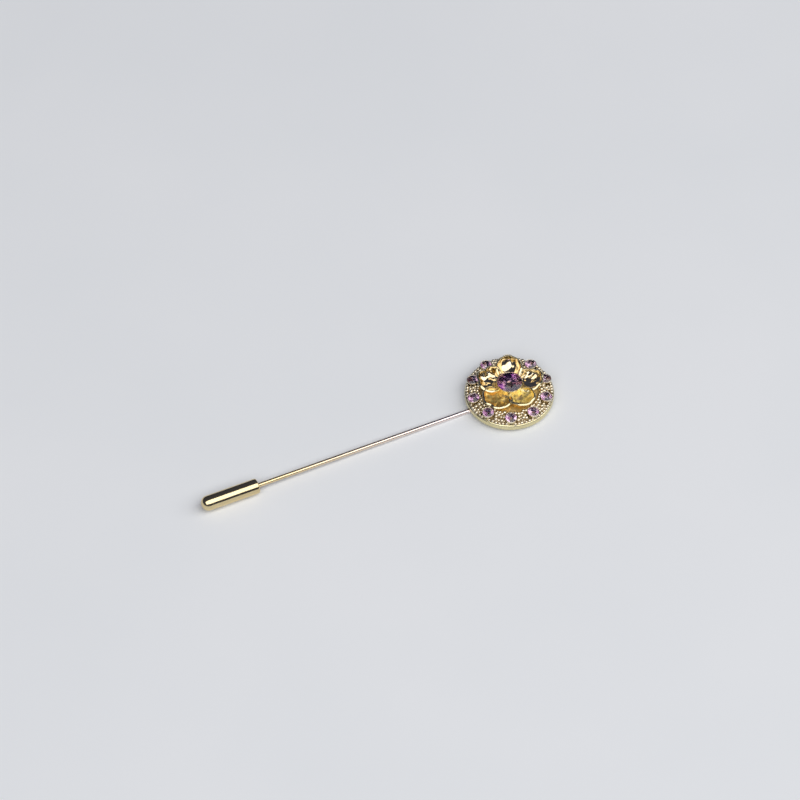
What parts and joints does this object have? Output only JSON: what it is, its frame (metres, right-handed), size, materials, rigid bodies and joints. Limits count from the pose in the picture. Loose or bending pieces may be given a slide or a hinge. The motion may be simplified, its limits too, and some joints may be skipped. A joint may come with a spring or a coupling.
{
  "type": "hat pin",
  "caption": "Stick pin with a domed, beaded disc head, a petalled blossom, round set stones, and a bullet-shaped push-on clutch over its point.",
  "frame": {"origin": "middle of the bounding box at its lowest plane, which the side of the clutch touches", "axes": "X along the wire: the head is at +X, the point and clutch at -X. +Z is the way the head faces. Y is across the head"},
  "size_m": [0.074, 0.0174, 0.0066],
  "materials": {
    "gold_plate": "polished, pale gold plating over a casting",
    "plated_wire": "bright drawn wire, pale gold plating",
    "clutch_metal": "mirror polished, pale gold plating over a drawn tube",
    "solder": "soft satin solder",
    "purple_glass": "cut glass, foiled on its back",
    "nylon": "natural nylon"
  },
  "bodies": {
    "pin": {"needle": "plated_wire", "solder_joint": "solder", "base_disc": "gold_plate", "blossom": "gold_plate", "centre_stone": "purple_glass", "rim_stone_01": "purple_glass", "rim_stone_02": "purple_glass", "rim_stone_03": "purple_glass", "rim_stone_04": "purple_glass", "rim_stone_05": "purple_glass", "rim_stone_06": "purple_glass", "rim_stone_07": "purple_glass", "rim_stone_08": "purple_glass", "rim_stone_09": "purple_glass", "rim_stone_10": "purple_glass"},
    "clutch_liner": {"clutch_liner": "nylon"},
    "clutch_shell": {"clutch_shell": "clutch_metal"}
  },
  "joints": [
    {"name": "clutch_slide", "type": "slide", "parent": "pin", "child": "clutch_liner", "axis": [-1, 0, 0], "range_m": [0, 0.03]},
    {"name": "clutch_spin", "type": "hinge", "parent": "clutch_liner", "child": "clutch_shell", "pos_m": [-0.0311, 0, 0.0015], "axis": [1, 0, 0], "continuous": true}
  ]
}
